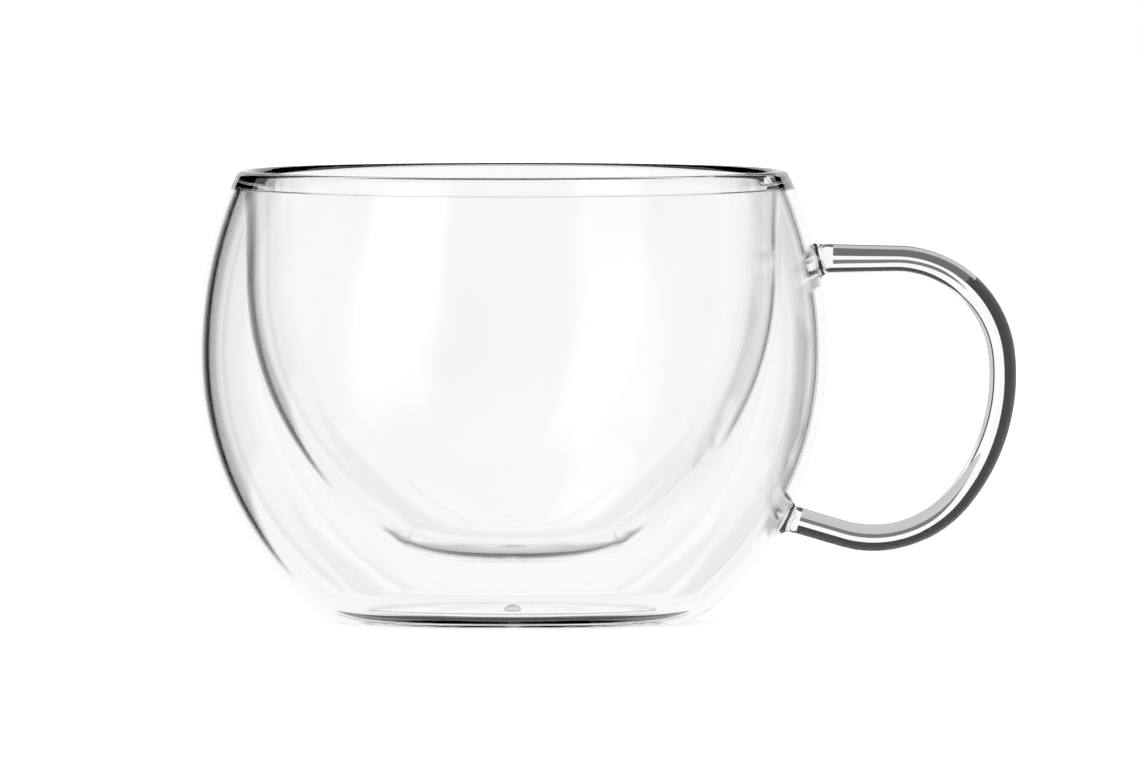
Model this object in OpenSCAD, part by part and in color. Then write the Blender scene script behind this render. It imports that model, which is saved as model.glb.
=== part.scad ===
// Double walled glass cup: a round-bellied outer vessel, an inner bowl hung from its rim and a bent rod handle.
// Millimetres. The origin is on the bowl's axis in the resting plane, +Z is up and the handle points along +X.

/* [Outer vessel] */
// Widest diameter of the outer vessel
body_d = 110; // [90:1:130]
// Height from the table to the top of the lip
height = 79; // [70:0.5:92]
// Height of the widest place
belly_z = 47; // [40:0.5:54]
// How far the shoulder draws in from the widest place up to the full height
shoulder_draw = 7; // [4:0.5:12]
// How far the belly would draw in from the widest place down to the table
foot_draw = 23; // [18:0.5:27]
// Radius of the rounded corner at the foot
foot_corner_r = 10; // [6:0.5:14]
// Wall thickness of the outer vessel
shell_wall = 1.8; // [1.2:0.1:2.6]

/* [Inner bowl] */
// Wall thickness of the inner bowl
bowl_wall = 1.5; // [1:0.1:2.2]
// Depth below the top of the lip where the bowl's straight wall turns into its curve
bowl_straight_depth = 19; // [11:0.5:26]
// Height of the bowl's floor, inside
bowl_floor_z = 12.4; // [8:0.2:20]
// Radius where the bowl's curve would reach its floor
bowl_floor_r = 16; // [8:0.5:24]
// Radius that blends the bowl's curve into its floor
bowl_floor_blend_r = 20; // [6:1:26]
// Radius of the small pip under the bowl's floor
pip_r = 1.6; // [0.8:0.1:3]
// Depth of that pip
pip_depth = 0.6; // [0.3:0.1:1]

/* [Fused rim] */
// Depth below the top where the two walls run into the fused lip
lip_depth = 3.8; // [3:0.1:5]
// Width of the air gap where it closes under the lip
notch_w = 0.8; // [0.4:0.1:1.2]

/* [Base] */
// Width of the flat ring that the cup stands on, round the plate that closes the vessel from below
foot_ring_w = 3.1; // [2:0.1:6]
// Thickness of that plate
base_disc_t = 1.8; // [1.2:0.1:2.4]
// How far the plate's underside stands above the table
base_recess = 0.4; // [0.2:0.1:0.8]
// Diameter of the vent hole in the plate
vent_d = 3.2; // [2:0.1:5]
// Height of the bead of glass that rises from the sealed vent
vent_bead_h = 0.9; // [0.5:0.1:1.6]

/* [Handle] */
// Diameter of the bent rod
rod_d = 4.8; // [3.6:0.1:6]
// Diameter of the rod where it is drawn down from its upper weld
rod_root_d = 5.4; // [5:0.1:7]
// Depth of the rod's upper run below the top of the lip
handle_drop = 15.5; // [13:0.5:20]
// Height where the rod's tail meets the outer vessel
handle_foot_z = 18.4; // [15:0.2:24]
// Length of the straight upper run, from the outer vessel
handle_run = 13.8; // [8:0.2:20]
// Radius of the first bend
bend_1_r = 18.6; // [15:0.2:22]
// Angle of the first bend
bend_1_deg = 84; // [76:1:92]
// Radius of the second bend
bend_2_r = 34; // [28:0.5:40]
// Angle of the second bend
bend_2_deg = 45; // [38:1:52]
// Length of the rod's straight tail, from the third bend to the outer vessel
tail_len = 10.3; // [6:0.1:16]
// Distance between the outer vessel and the cut ends of the rod
weld_len = 2.2; // [1.6:0.1:3]
// Diameter of the glass that spreads on the vessel at the upper end
upper_weld_d = 6.4; // [6:0.1:8]
// Diameter of the glass that spreads on the vessel at the lower end
lower_weld_d = 7.4; // [6:0.1:9]
// Thickness of both spread pads before they blend into the rod
weld_pad_t = 0.7; // [0.4:0.1:0.9]

/* [Hidden] */
$fn = 240;

// Overrun of every cut past the face that it cuts, and reach of cuts that only need to be large
over = 1;
far = body_d;
// How much wider than the rod the balls are that join its bends into one solid
ball_swell = 0.04;

// Radius of an arc that starts upright and has moved in by step after rise
function arc_r(rise, step) = (rise * rise + step * step) / (2 * step);

// Outer vessel: two arcs that meet at the belly, and a corner arc that touches the lower one and the table
belly_r = body_d / 2;
shoulder_r = arc_r(height - belly_z, shoulder_draw);
shoulder_x = belly_r - shoulder_r;
lower_r = arc_r(belly_z, foot_draw);
lower_x = belly_r - lower_r;
corner_share = (belly_z - foot_corner_r) / (lower_r - foot_corner_r);
corner_x = lower_x + (lower_r - foot_corner_r) * sqrt(1 - corner_share * corner_share);
function corner_z(inset) = belly_z - (lower_r - inset) * corner_share;
function shoulder_x_at(z, inset) = shoulder_x + sqrt(pow(shoulder_r - inset, 2) - pow(z - belly_z, 2));
function lower_x_at(z, inset) = lower_x + sqrt(pow(lower_r - inset, 2) - pow(z - belly_z, 2));
function vessel_x_at(z, inset) = z > belly_z ? shoulder_x_at(z, inset) : lower_x_at(z, inset);

// Fused rim: the bowl hangs inside the shell with the notch between them, and the lip is a full round
rim_z = height - lip_depth;
bowl_out_r = shoulder_x_at(rim_z, shell_wall) - notch_w;
bowl_in_r = bowl_out_r - bowl_wall;
shoulder_rise = height - belly_z;
shoulder_reach = bowl_in_r - shoulder_x;
lip_half = shoulder_r + shoulder_reach - shoulder_rise;
lip_r = sqrt(pow(lip_half, 2) + pow(shoulder_r, 2) - pow(shoulder_reach, 2) - pow(shoulder_rise, 2)) - lip_half;
lip_x = bowl_in_r + lip_r;
lip_z = height - lip_r;
lip_deg = atan2(lip_z - belly_z, lip_x - shoulder_x);

// Closing plate: it leaves the foot's flat ring free
base_disc_d = 2 * (corner_x - foot_ring_w);

// Inner bowl: a straight wall, one arc and a floor, with a blend between the last two
bowl_straight_z = height - bowl_straight_depth;
bowl_rise = bowl_straight_z - bowl_floor_z;
bowl_r = arc_r(bowl_rise, bowl_in_r - bowl_floor_r);
bowl_x = bowl_in_r - bowl_r;
blend_share = (bowl_rise - bowl_floor_blend_r) / (bowl_r - bowl_floor_blend_r);
blend_x = bowl_x + (bowl_r - bowl_floor_blend_r) * sqrt(1 - blend_share * blend_share);
blend_z = bowl_floor_z + bowl_floor_blend_r;
function blend_top_z(grow) = bowl_straight_z - (bowl_r + grow) * blend_share;

// Handle path: three bends, of which the last one has the radius that lets the straight tail run into the foot
handle_top_z = height - handle_drop;
handle_start = vessel_x_at(handle_top_z, 0);
bend_1_at = [handle_start + handle_run, handle_top_z - bend_1_r];
bend_1_end = 90 - bend_1_deg;
bend_2_at = bend_1_at + (bend_1_r - bend_2_r) * [cos(bend_1_end), sin(bend_1_end)];
bend_2_end = bend_1_end - bend_2_deg;
foot_at = [vessel_x_at(handle_foot_z, 0), handle_foot_z];
bend_2_out = [cos(bend_2_end), sin(bend_2_end)];
from_foot = bend_2_at + bend_2_r * bend_2_out - foot_at;
bend_3_r = (from_foot * from_foot - tail_len * tail_len) / (2 * from_foot * bend_2_out);
bend_3_at = foot_at + from_foot - bend_3_r * bend_2_out;
to_foot = foot_at - bend_3_at;
bend_3_end = atan2(to_foot.y, to_foot.x) + atan2(tail_len, bend_3_r);

// Cross section of the outer vessel's full body, half of it, moved in by inset and cut off at top
module vessel_section(inset, top) {
    intersection() {
        translate([shoulder_x, belly_z]) circle(r = shoulder_r - inset);
        translate([0, belly_z]) square([far, top - belly_z]);
    }
    intersection() {
        translate([lower_x, belly_z]) circle(r = lower_r - inset);
        translate([0, corner_z(inset)]) square([far, belly_z - corner_z(inset)]);
    }
    intersection() {
        translate([corner_x, foot_corner_r]) circle(r = foot_corner_r - inset);
        translate([corner_x, inset]) square([foot_corner_r, corner_z(inset) - inset]);
    }
    translate([0, inset]) square([corner_x, corner_z(inset) - inset]);
}

module vessel_body(inset, top) {
    rotate_extrude() vessel_section(inset, top);
}

// Cross section of the bowl's full body, half of it, grown by the wall thickness
module bowl_section(grow, top) {
    translate([0, bowl_straight_z]) square([bowl_in_r + grow, top - bowl_straight_z]);
    intersection() {
        translate([bowl_x, bowl_straight_z]) circle(r = bowl_r + grow);
        translate([0, blend_top_z(grow)]) square([far, bowl_straight_z - blend_top_z(grow)]);
    }
    intersection() {
        translate([blend_x, blend_z]) circle(r = bowl_floor_blend_r + grow);
        translate([blend_x, bowl_floor_z - grow]) square([far, blend_top_z(grow) - bowl_floor_z + grow]);
    }
    translate([0, bowl_floor_z - grow]) square([blend_x, blend_top_z(grow) - bowl_floor_z + grow]);
}

// One bend of the rod in the XZ plane, between two angles round its centre
module bend(at, r, from_deg, to_deg) {
    translate([at.x, 0, at.y])
        rotate([90, 0, 0])
            rotate([0, 0, to_deg])
                rotate_extrude(angle = from_deg - to_deg)
                    translate([r, 0]) circle(d = rod_d);
}

// Ball inside the rod at one end of a bend
module joint_ball(at, r, deg) {
    translate([at.x + r * cos(deg), 0, at.y + r * sin(deg)]) sphere(d = rod_d + ball_swell);
}

// The straight upper run, from inside the vessel's wall to the first bend, slightly drawn down
module upper_run() {
    translate([handle_start - shell_wall, 0, handle_top_z])
        rotate([0, 90, 0])
            cylinder(d1 = rod_root_d, d2 = rod_d, h = handle_run + shell_wall);
}

// Moves children so that their Z axis leaves the vessel along the rod's tail
module at_tail() {
    translate([foot_at.x, 0, foot_at.y]) rotate([0, -bend_3_end, 0]) children();
}

module tail() {
    at_tail() translate([0, 0, -shell_wall]) cylinder(d = rod_d, h = tail_len + shell_wall);
}

// Glass spread on the vessel round a rod end: a pad, then a hollow fillet down to the rod
module spread_pad(pad_d, neck_d) {
    fillet_r = (pad_d - neck_d) / 2;
    rotate_extrude() {
        difference() {
            translate([0, -shell_wall]) square([pad_d / 2, shell_wall + weld_pad_t + fillet_r]);
            translate([pad_d / 2, weld_pad_t + fillet_r]) circle(r = fillet_r);
        }
    }
}

// What lies between the vessel's surface and the surface that the rod's ends are cut to
module between_vessel_and_rod() {
    difference() {
        intersection() {
            children();
            vessel_body(-weld_len, height);
        }
        vessel_body(0, height);
    }
}

module outer_shell() {
    color([0.93, 0.94, 0.95, 0.3]) difference() {
        vessel_body(0, rim_z);
        vessel_body(shell_wall, rim_z + over);
        translate([0, 0, -over]) cylinder(d = base_disc_d, h = shell_wall + 2 * over);
    }
}

module inner_bowl() {
    color([0.95, 0.96, 0.97, 0.3]) union() {
        rotate_extrude() difference() {
            bowl_section(bowl_wall, rim_z);
            bowl_section(0, rim_z + over);
        }
        translate([0, 0, bowl_floor_z - bowl_wall - pip_depth]) cylinder(r1 = 0, r2 = pip_r, h = pip_depth);
    }
}

module rim_weld() {
    lip_reach = lip_r + bowl_wall + shell_wall;
    color([0.9, 0.92, 0.93, 0.4]) rotate_extrude() difference() {
        intersection() {
            translate([shoulder_x, belly_z]) circle(r = shoulder_r);
            union() {
                translate([lip_x, lip_z]) circle(r = lip_r);
                polygon([
                    [bowl_in_r, rim_z],
                    [lip_x + lip_reach, rim_z],
                    [lip_x + lip_reach * cos(lip_deg), lip_z + lip_reach * sin(lip_deg)],
                    [lip_x, lip_z],
                    [bowl_in_r, lip_z],
                ]);
            }
        }
        translate([bowl_out_r + notch_w / 2, rim_z]) circle(d = notch_w);
    }
}

module base_disc() {
    color([0.9, 0.92, 0.93, 0.4]) translate([0, 0, base_recess]) difference() {
        cylinder(d = base_disc_d, h = base_disc_t);
        translate([0, 0, -over]) cylinder(d = vent_d, h = base_disc_t + 2 * over);
    }
}

module vent_seal() {
    bead_r = arc_r(vent_d / 2, vent_bead_h);
    color([0.85, 0.88, 0.9, 0.5]) translate([0, 0, base_recess]) {
        cylinder(d = vent_d, h = base_disc_t);
        intersection() {
            translate([0, 0, base_disc_t + vent_bead_h - bead_r]) sphere(r = bead_r);
            translate([0, 0, base_disc_t]) cylinder(d = vent_d, h = vent_bead_h);
        }
    }
}

module handle_rod() {
    color([0.4, 0.42, 0.44]) difference() {
        union() {
            upper_run();
            joint_ball(bend_1_at, bend_1_r, 90);
            bend(bend_1_at, bend_1_r, 90, bend_1_end);
            joint_ball(bend_1_at, bend_1_r, bend_1_end);
            bend(bend_2_at, bend_2_r, bend_1_end, bend_2_end);
            joint_ball(bend_2_at, bend_2_r, bend_2_end);
            bend(bend_3_at, bend_3_r, bend_2_end, bend_3_end);
            joint_ball(bend_3_at, bend_3_r, bend_3_end);
            tail();
        }
        vessel_body(-weld_len, height);
    }
}

module upper_handle_weld() {
    color([0.3, 0.31, 0.33]) between_vessel_and_rod() {
        upper_run();
        translate([handle_start, 0, handle_top_z]) rotate([0, 90, 0]) spread_pad(upper_weld_d, rod_root_d);
    }
}

module lower_handle_weld() {
    color([0.3, 0.31, 0.33]) between_vessel_and_rod() {
        tail();
        at_tail() spread_pad(lower_weld_d, rod_d);
    }
}

outer_shell();
inner_bowl();
rim_weld();
base_disc();
vent_seal();
handle_rod();
upper_handle_weld();
lower_handle_weld();
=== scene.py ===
"""Looks of a double walled glass cup.

The cup has an outer vessel, an inner bowl, a fused rim, a closed base with its sealed vent, and a
bent rod handle with its two welds. The stage has a floor, a studio room, cards, a lamp and the
camera.
"""

import math

import bmesh
import bpy
from bpy.props import FloatProperty, FloatVectorProperty, IntProperty, PointerProperty
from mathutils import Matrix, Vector, noise


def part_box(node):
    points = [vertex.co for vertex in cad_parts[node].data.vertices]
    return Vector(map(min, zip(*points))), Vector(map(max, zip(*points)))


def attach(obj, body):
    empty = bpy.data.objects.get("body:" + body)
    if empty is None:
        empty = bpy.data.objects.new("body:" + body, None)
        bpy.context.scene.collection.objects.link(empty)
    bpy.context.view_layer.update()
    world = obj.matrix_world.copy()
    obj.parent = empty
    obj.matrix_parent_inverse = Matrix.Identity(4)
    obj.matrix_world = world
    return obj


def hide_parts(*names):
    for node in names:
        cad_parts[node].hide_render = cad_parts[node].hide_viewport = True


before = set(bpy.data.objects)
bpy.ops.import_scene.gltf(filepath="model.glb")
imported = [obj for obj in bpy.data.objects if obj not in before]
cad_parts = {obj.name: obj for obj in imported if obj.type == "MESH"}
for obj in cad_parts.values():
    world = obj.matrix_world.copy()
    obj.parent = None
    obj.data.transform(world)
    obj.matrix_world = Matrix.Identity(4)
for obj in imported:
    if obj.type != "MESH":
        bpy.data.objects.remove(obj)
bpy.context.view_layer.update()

bl_info = {
    "name": "Double walled glass cup",
    "version": (1, 0, 0),
    "blender": (4, 5, 0),
    "location": "View3D > Sidebar > Glass cup",
    "description": "Builds the cup's glass pieces round the packed part, and its stage",
    "category": "Add Mesh",
}

MM = 0.001
WHITE = (1.0, 1.0, 1.0, 1.0)
VESSEL_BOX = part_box("outer_shell")
RIM_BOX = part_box("rim_weld")
BASE_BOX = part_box("base_disc")
VENT_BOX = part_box("vent_seal")

# How finely each curve is drawn
VESSEL_STEPS = 140
FOOT_STEPS = 4
BOWL_STEPS = 120
BOWL_FLOOR_STEPS = 16
RIM_SIDE_STEPS = 12
LIP_STEPS = 40
RIM_WALL_STEPS = 8
NOTCH_STEPS = 24
PLATE_STEPS = 24
PLATE_EDGE_STEPS = 8
BEAD_STEPS = 12
BEAD_AROUND = 64
ROD_RUN_STEPS = 24
ROD_BEND_STEPS = (56, 48, 64)
ROD_TAIL_STEPS = 20
ROD_AROUND = 64
WELD_AROUND = 96
WELD_RINGS = 26
WELD_CAP_RINGS = 5
WELD_LID_RINGS = 4

MERGE_DISTANCE = 1e-6
DOUBLES_DISTANCE = 1e-7
CREASE = math.radians(28)


def length(name, text, default):
    """A length property in metres."""
    return FloatProperty(
        name=name, description=text, default=default, min=0.0, unit="LENGTH", precision=5
    )


def angle(name, text, degrees):
    """An angle property. Its default is given in degrees."""
    return FloatProperty(
        name=name, description=text, default=math.radians(degrees), unit="ROTATION"
    )


def tint(name, text, default):
    """A colour property."""
    return FloatVectorProperty(
        name=name, description=text, default=default, min=0.0, max=1.0, size=3, subtype="COLOR"
    )


class CupSizes(bpy.types.PropertyGroup):
    """Sizes of the cup's glass, taken from the part where it shows them."""

    belly_r: length("Belly radius", "Radius at the widest place", VESSEL_BOX[1][0])
    height: length("Height", "Height of the top of the lip", RIM_BOX[1][2])
    belly_z: length("Belly height", "Height of the widest place", 47 * MM)
    shoulder_draw: length(
        "Shoulder draw", "How far the shoulder draws in up to the full height", 7 * MM
    )
    foot_draw: length(
        "Foot draw", "How far the belly would draw in down to the table", 23 * MM
    )
    corner_r: length("Foot corner", "Radius of the rounded corner at the foot", 10 * MM)
    shell_wall: length("Outer wall", "Wall thickness of the outer vessel", 1.8 * MM)
    bowl_wall: length("Bowl wall", "Wall thickness of the inner bowl", 1.5 * MM)
    bowl_straight_depth: length(
        "Bowl straight wall", "Depth of the bowl's straight wall below the lip", 19 * MM
    )
    bowl_floor_z: length("Bowl floor", "Height of the bowl's floor inside", 12.4 * MM)
    bowl_floor_r: length(
        "Bowl floor radius", "Radius where the bowl's curve would reach its floor", 16 * MM
    )
    bowl_blend_r: length(
        "Bowl floor blend", "Radius between the bowl's curve and its floor", 20 * MM
    )
    pip_r: length("Pip radius", "Radius of the pip under the bowl", 1.6 * MM)
    pip_depth: length("Pip depth", "Depth of the pip under the bowl", 0.6 * MM)
    lip_depth: length(
        "Lip depth", "Depth below the top where the walls run into the lip", 3.8 * MM
    )
    notch_w: length(
        "Notch width", "Width of the air gap where it closes under the lip", 0.8 * MM
    )
    plate_r: length("Plate radius", "Radius of the plate that closes the base", BASE_BOX[1][0])
    plate_low: length("Plate underside", "Height of the plate's underside", BASE_BOX[0][2])
    plate_top: length("Plate top", "Height of the plate's upper side", BASE_BOX[1][2])
    vent_r: length("Vent radius", "Radius of the sealed vent hole", VENT_BOX[1][0])
    vent_top: length("Vent bead top", "Height of the bead over the vent", VENT_BOX[1][2])
    rod_r: length("Rod radius", "Radius of the bent rod", 2.4 * MM)
    rod_root_r: length("Rod root radius", "Radius of the rod at its upper weld", 2.7 * MM)
    handle_drop: length(
        "Handle drop", "Depth of the rod's upper run below the lip", 15.5 * MM
    )
    handle_foot_z: length(
        "Handle foot", "Height where the rod's tail meets the vessel", 18.4 * MM
    )
    handle_run: length("Handle run", "Length of the straight upper run", 13.8 * MM)
    bend_1_r: length("First bend", "Radius of the first bend", 18.6 * MM)
    bend_2_r: length("Second bend", "Radius of the second bend", 34 * MM)
    bend_1_turn: angle("First turn", "Angle of the first bend", 84)
    bend_2_turn: angle("Second turn", "Angle of the second bend", 45)
    tail_len: length("Tail", "Length of the rod's straight tail", 10.3 * MM)
    weld_len: length(
        "Weld length", "Distance between the vessel and the rod's cut ends", 2.2 * MM
    )
    wave: length("Waviness", "Deepest hollow that the hand leaves in the walls", 0.05 * MM)
    around: IntProperty(
        name="Steps around", description="Steps round each turned piece", default=256, min=48
    )


class CupColours(bpy.types.PropertyGroup):
    """Tints of the four glasses. Each shows where the glass's swell is low."""

    wall_glass: tint("Walls", "Tint of the vessel and the bowl", (0.985, 0.99, 0.99))
    fused_glass: tint("Rim and base", "Tint of the flame joined glass", (0.985, 0.99, 0.99))
    rod_glass: tint("Rod", "Tint of the drawn rod", (0.98, 0.985, 0.985))
    weld_glass: tint("Welds", "Tint of the two welds", (0.94, 0.95, 0.955))


# Profiles of the glass, as points of radius and height


def on_circle(centre, r, turn):
    """The point of a circle at an angle."""
    return (centre[0] + r * math.cos(turn), centre[1] + r * math.sin(turn))


def arc(centre, r, start, end, steps):
    """Points on an arc between two angles, both ends included."""
    return [on_circle(centre, r, start + (end - start) * i / steps) for i in range(steps + 1)]


def line(a, b, steps):
    """Points on a straight line, both ends included."""
    run, rise = b[0] - a[0], b[1] - a[1]
    return [(a[0] + run * i / steps, a[1] + rise * i / steps) for i in range(steps + 1)]


def arc_radius(rise, step):
    """Radius of an arc that starts upright and has moved in by step after rise."""
    return (rise * rise + step * step) / (2 * step)


class Shape:
    """The curves that the pieces share, worked out from the sizes."""

    def __init__(self, s):
        self.s = s
        rise = s.height - s.belly_z
        self.shoulder_r = arc_radius(rise, s.shoulder_draw)
        self.shoulder_x = s.belly_r - self.shoulder_r
        self.lower_r = arc_radius(s.belly_z, s.foot_draw)
        self.lower_x = s.belly_r - self.lower_r
        self.corner_turn = math.asin((s.belly_z - s.corner_r) / (self.lower_r - s.corner_r))
        self.corner_x = self.lower_x + (self.lower_r - s.corner_r) * math.cos(self.corner_turn)

        # The lip is the circle that touches the shoulder, the bowl's wall and the full height
        self.rim_z = s.height - s.lip_depth
        self.bowl_out_r = self.radius_at(self.rim_z, s.shell_wall) - s.notch_w
        self.bowl_in_r = self.bowl_out_r - s.bowl_wall
        reach = self.bowl_in_r - self.shoulder_x
        half = self.shoulder_r + reach - rise
        self.lip_r = math.sqrt(half ** 2 + self.shoulder_r ** 2 - reach ** 2 - rise ** 2) - half
        self.lip_x = self.bowl_in_r + self.lip_r
        self.lip_z = s.height - self.lip_r
        self.lip_turn = math.atan2(self.lip_z - s.belly_z, self.lip_x - self.shoulder_x)

        # The bowl: a straight wall, one long curve, and a blend into the flat floor
        self.straight_z = s.height - s.bowl_straight_depth
        drop = self.straight_z - s.bowl_floor_z
        self.bowl_r = arc_radius(drop, self.bowl_in_r - s.bowl_floor_r)
        self.bowl_x = self.bowl_in_r - self.bowl_r
        self.blend_turn = math.asin((drop - s.bowl_blend_r) / (self.bowl_r - s.bowl_blend_r))
        self.blend_x = self.bowl_x + (self.bowl_r - s.bowl_blend_r) * math.cos(self.blend_turn)
        self.blend_z = s.bowl_floor_z + s.bowl_blend_r

    def radius_at(self, z, inset=0.0):
        """Radius of the outer vessel's surface, moved in by inset, at a height."""
        s = self.s
        if z > s.belly_z:
            r, x = self.shoulder_r - inset, self.shoulder_x
        else:
            r, x = self.lower_r - inset, self.lower_x
        return x + math.sqrt(r ** 2 - (z - s.belly_z) ** 2)

    def vessel(self, inset):
        """The vessel's surface moved in by inset, from its floor up to the rim."""
        s = self.s
        half, quarter = VESSEL_STEPS // 2, VESSEL_STEPS // 4
        corner, lower = (self.corner_x, s.corner_r), (self.lower_x, s.belly_z)
        shoulder = (self.shoulder_x, s.belly_z)
        foot = -self.corner_turn
        top = math.asin((self.rim_z - s.belly_z) / (self.shoulder_r - inset))
        points = arc(corner, s.corner_r - inset, -math.pi / 2, foot, quarter)
        points += arc(lower, self.lower_r - inset, foot, 0.0, half)[1:]
        points += arc(shoulder, self.shoulder_r - inset, 0.0, top, half)[1:]
        return points

    def bowl(self, grow):
        """The bowl's surface grown by a wall, from the middle of its floor up to the rim."""
        s = self.s
        half, quarter = BOWL_STEPS // 2, BOWL_STEPS // 4
        blend, curve = (self.blend_x, self.blend_z), (self.bowl_x, self.straight_z)
        floor_z, wall_r = s.bowl_floor_z - grow, self.bowl_in_r + grow
        foot = -self.blend_turn
        points = line((0.0, floor_z), (self.blend_x, floor_z), BOWL_FLOOR_STEPS)
        points += arc(blend, s.bowl_blend_r + grow, -math.pi / 2, foot, half)[1:]
        points += arc(curve, self.bowl_r + grow, foot, 0.0, half)[1:]
        points += line((wall_r, self.straight_z), (wall_r, self.rim_z), quarter)[1:]
        return points


# Node trees


def feed(tree, socket, value):
    """Links a socket to another one or sets its value. None leaves it as it is."""
    if isinstance(value, bpy.types.NodeSocket):
        tree.links.new(value, socket)
    elif value is not None:
        socket.default_value = value


def add(tree, kind, inputs=None, **settings):
    """A new node with its settings. inputs gives sockets or values by input name or number."""
    node = tree.nodes.new(kind)
    for key, value in settings.items():
        setattr(node, key, value)
    for key, value in (inputs or {}).items():
        feed(tree, node.inputs[key], value)
    return node


def math_node(tree, operation, a, b=None):
    """The result of a math node for sockets or numbers."""
    return add(tree, "ShaderNodeMath", {0: a, 1: b}, operation=operation).outputs[0]


# Rings along a path: one node tree turns every profile and the rod's path into glass

RING_TREE = "Glass rings along a path"
RING_INPUTS = (
    ("Geometry", "NodeSocketGeometry"),
    ("Steps around", "NodeSocketInt"),
    ("Waviness", "NodeSocketFloat"),
    ("Wave size", "NodeSocketFloat"),
    ("Seed", "NodeSocketFloat"),
    ("Glass", "NodeSocketMaterial"),
    ("Joined face", "NodeSocketMaterial"),
)

# What the tree reads at each point of the path, in the order of a row after its centre
RING_FIELDS = (
    ("aside", "FLOAT_VECTOR"),
    ("reach", "FLOAT"),
    ("ease", "FLOAT"),
    ("joined_step", "FLOAT"),
)


def ring_tree():
    """The tree: each point of the path becomes a ring, and neighbouring rings are joined."""
    tree = bpy.data.node_groups.get(RING_TREE)
    if tree:
        return tree
    tree = bpy.data.node_groups.new(RING_TREE, "GeometryNodeTree")
    tree.is_modifier = True
    for name, kind in RING_INPUTS:
        tree.interface.new_socket(name, in_out="INPUT", socket_type=kind)
    tree.interface.new_socket("Geometry", in_out="OUTPUT", socket_type="NodeSocketGeometry")
    given = add(tree, "NodeGroupInput").outputs

    def calc(operation, a, b=None):
        return math_node(tree, operation, a, b)

    def vector(operation, a, b=None, scale=None):
        inputs = {0: a, 1: b, 3: scale}
        return add(tree, "ShaderNodeVectorMath", inputs, operation=operation).outputs[0]

    def named(kind, name):
        node = add(tree, "GeometryNodeInputNamedAttribute", {"Name": name}, data_type=kind)
        return node.outputs[0]

    def sampled(kind, value, at):
        inputs = {"Geometry": given["Geometry"], "Value": value, "Index": at}
        node = add(tree, "GeometryNodeSampleIndex", inputs, data_type=kind, domain="POINT")
        return node.outputs[0]

    # A grid with a row for each point of the path and a column for each step around
    count = add(
        tree, "GeometryNodeAttributeDomainSize", {0: given["Geometry"]}, component="MESH"
    )
    points = count.outputs["Point Count"]
    around = given["Steps around"]
    columns = calc("ADD", around, 1.0)
    grid = add(tree, "GeometryNodeMeshGrid", {"Vertices X": columns, "Vertices Y": points})
    index = add(tree, "GeometryNodeInputIndex").outputs[0]
    column = calc("FLOOR", calc("DIVIDE", index, points))
    row = calc("SUBTRACT", index, calc("MULTIPLY", column, points))
    turn = calc("MULTIPLY", calc("DIVIDE", column, around), math.tau)

    # Each row is laid round its centre
    position = add(tree, "GeometryNodeInputPosition").outputs[0]
    centre = sampled("FLOAT_VECTOR", position, row)
    aside = sampled("FLOAT_VECTOR", named("FLOAT_VECTOR", "aside"), row)
    reach = sampled("FLOAT", named("FLOAT", "reach"), row)
    ease = sampled("FLOAT", named("FLOAT", "ease"), row)
    across = add(tree, "ShaderNodeCombineXYZ", {1: calc("SINE", turn)}).outputs[0]
    outward = vector("ADD", vector("SCALE", aside, scale=calc("COSINE", turn)), across)
    place = vector("ADD", centre, vector("SCALE", outward, scale=reach))

    # The hand's waviness only takes glass away
    ripple = add(
        tree,
        "ShaderNodeTexNoise",
        {
            "Vector": place,
            "W": given["Seed"],
            "Scale": calc("DIVIDE", 1.0, given["Wave size"]),
            "Detail": 1.0,
        },
        noise_dimensions="4D",
    )
    hollow = calc("MULTIPLY", calc("MULTIPLY", ripple.outputs[0], given["Waviness"]), ease)
    moved = vector("SUBTRACT", place, vector("SCALE", outward, scale=hollow))
    laid = {"Geometry": grid.outputs["Mesh"], "Position": moved}
    shaped = add(tree, "GeometryNodeSetPosition", laid)

    # Each face keeps whether its step is a heat joined face
    rows = calc("SUBTRACT", points, 1.0)
    face_column = calc("FLOOR", calc("DIVIDE", index, rows))
    face_row = calc("SUBTRACT", index, calc("MULTIPLY", face_column, rows))
    mark = add(
        tree,
        "GeometryNodeStoreNamedAttribute",
        {
            "Geometry": shaped.outputs["Geometry"],
            "Name": "joined",
            "Value": sampled("FLOAT", named("FLOAT", "joined_step"), face_row),
        },
        data_type="FLOAT",
        domain="FACE",
    )
    merged = add(
        tree,
        "GeometryNodeMergeByDistance",
        {"Geometry": mark.outputs["Geometry"], "Distance": MERGE_DISTANCE},
    )
    smooth = add(
        tree, "GeometryNodeSetShadeSmooth", {"Geometry": merged.outputs["Geometry"]}
    )
    whole = add(
        tree, "GeometryNodeRealizeInstances", {"Geometry": smooth.outputs["Geometry"]}
    )
    glazed = add(
        tree,
        "GeometryNodeSetMaterial",
        {"Geometry": whole.outputs["Geometry"], "Material": given["Glass"]},
    )
    joined = add(
        tree,
        "GeometryNodeSetMaterial",
        {
            "Geometry": glazed.outputs["Geometry"],
            "Selection": calc("GREATER_THAN", named("FLOAT", "joined"), 0.5),
            "Material": given["Joined face"],
        },
    )
    add(tree, "NodeGroupOutput", {0: joined.outputs["Geometry"]})
    return tree


def link(obj):
    """Puts an object into the scene and returns it."""
    bpy.context.scene.collection.objects.link(obj)
    return obj


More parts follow.
